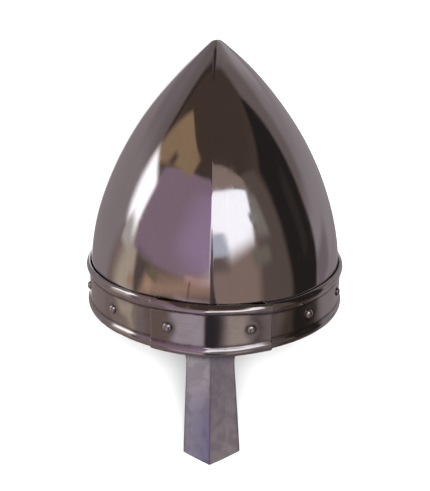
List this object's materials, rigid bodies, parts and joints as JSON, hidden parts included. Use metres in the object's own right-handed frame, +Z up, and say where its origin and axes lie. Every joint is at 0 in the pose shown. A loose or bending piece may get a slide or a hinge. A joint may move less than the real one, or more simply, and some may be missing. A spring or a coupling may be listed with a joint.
{
  "type": "nasal helmet",
  "caption": "Pointed steel nasal helmet: two-half skull with a medial ridge, riveted beaded brow band, lapped front plate and a creased nose guard.",
  "frame": {"origin": "on the surface the helmet rests on, under the middle of its box", "axes": "+Z up from that surface, -Y the way the face opening looks, +X towards the wearer's left"},
  "size_m": [0.2046, 0.2634, 0.2293],
  "materials": {
    "skull_steel": "polished sheet steel with fine scratches and a mauve-grey tone",
    "band_steel": "polished sheet steel, a little duller in the hollows beside the beads",
    "nasal_steel": "satin steel, mottled",
    "rivet_steel": "polished domed heads"
  },
  "bodies": {
    "root": {"skull": "skull_steel", "brow_band": "band_steel", "front_plate": "band_steel", "nasal": "nasal_steel", "rivet_01": "rivet_steel", "rivet_02": "rivet_steel", "rivet_03": "rivet_steel", "rivet_04": "rivet_steel", "rivet_05": "rivet_steel", "rivet_06": "rivet_steel", "rivet_07": "rivet_steel", "rivet_08": "rivet_steel", "rivet_09": "rivet_steel", "rivet_10": "rivet_steel", "rivet_11": "rivet_steel", "rivet_12": "rivet_steel", "rivet_13": "rivet_steel"}
  },
  "joints": []
}
